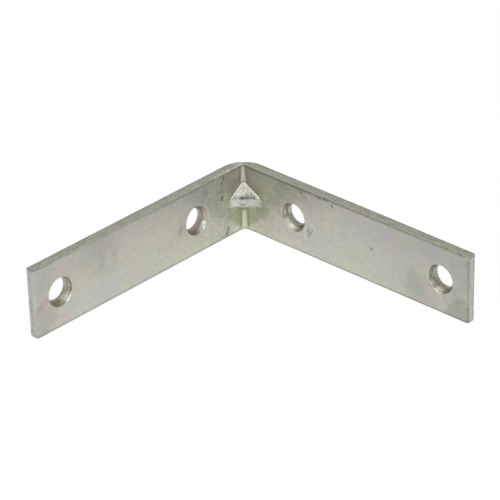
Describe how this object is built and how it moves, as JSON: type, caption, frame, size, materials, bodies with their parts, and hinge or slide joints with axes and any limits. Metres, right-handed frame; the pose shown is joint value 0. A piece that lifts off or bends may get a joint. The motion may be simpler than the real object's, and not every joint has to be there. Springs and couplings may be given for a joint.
{
  "type": "angle bracket",
  "caption": "Right-angle steel corner bracket: two equal flat legs with countersunk screw holes and a stiffening dart pressed into the bend.",
  "frame": {"origin": "heel: the line where the planes of the two back faces meet, at the lower long edge of the legs", "axes": "+X along one leg and +Y along the other, both towards the leg ends; +Z across the width of the strip, upwards"},
  "size_m": [0.075, 0.075, 0.018],
  "materials": {
    "plated_steel": "dull zinc plating over rolled steel strip, satin, with a faint warm and bluish tint"
  },
  "bodies": {
    "root": {"bracket": "plated_steel"}
  },
  "joints": []
}
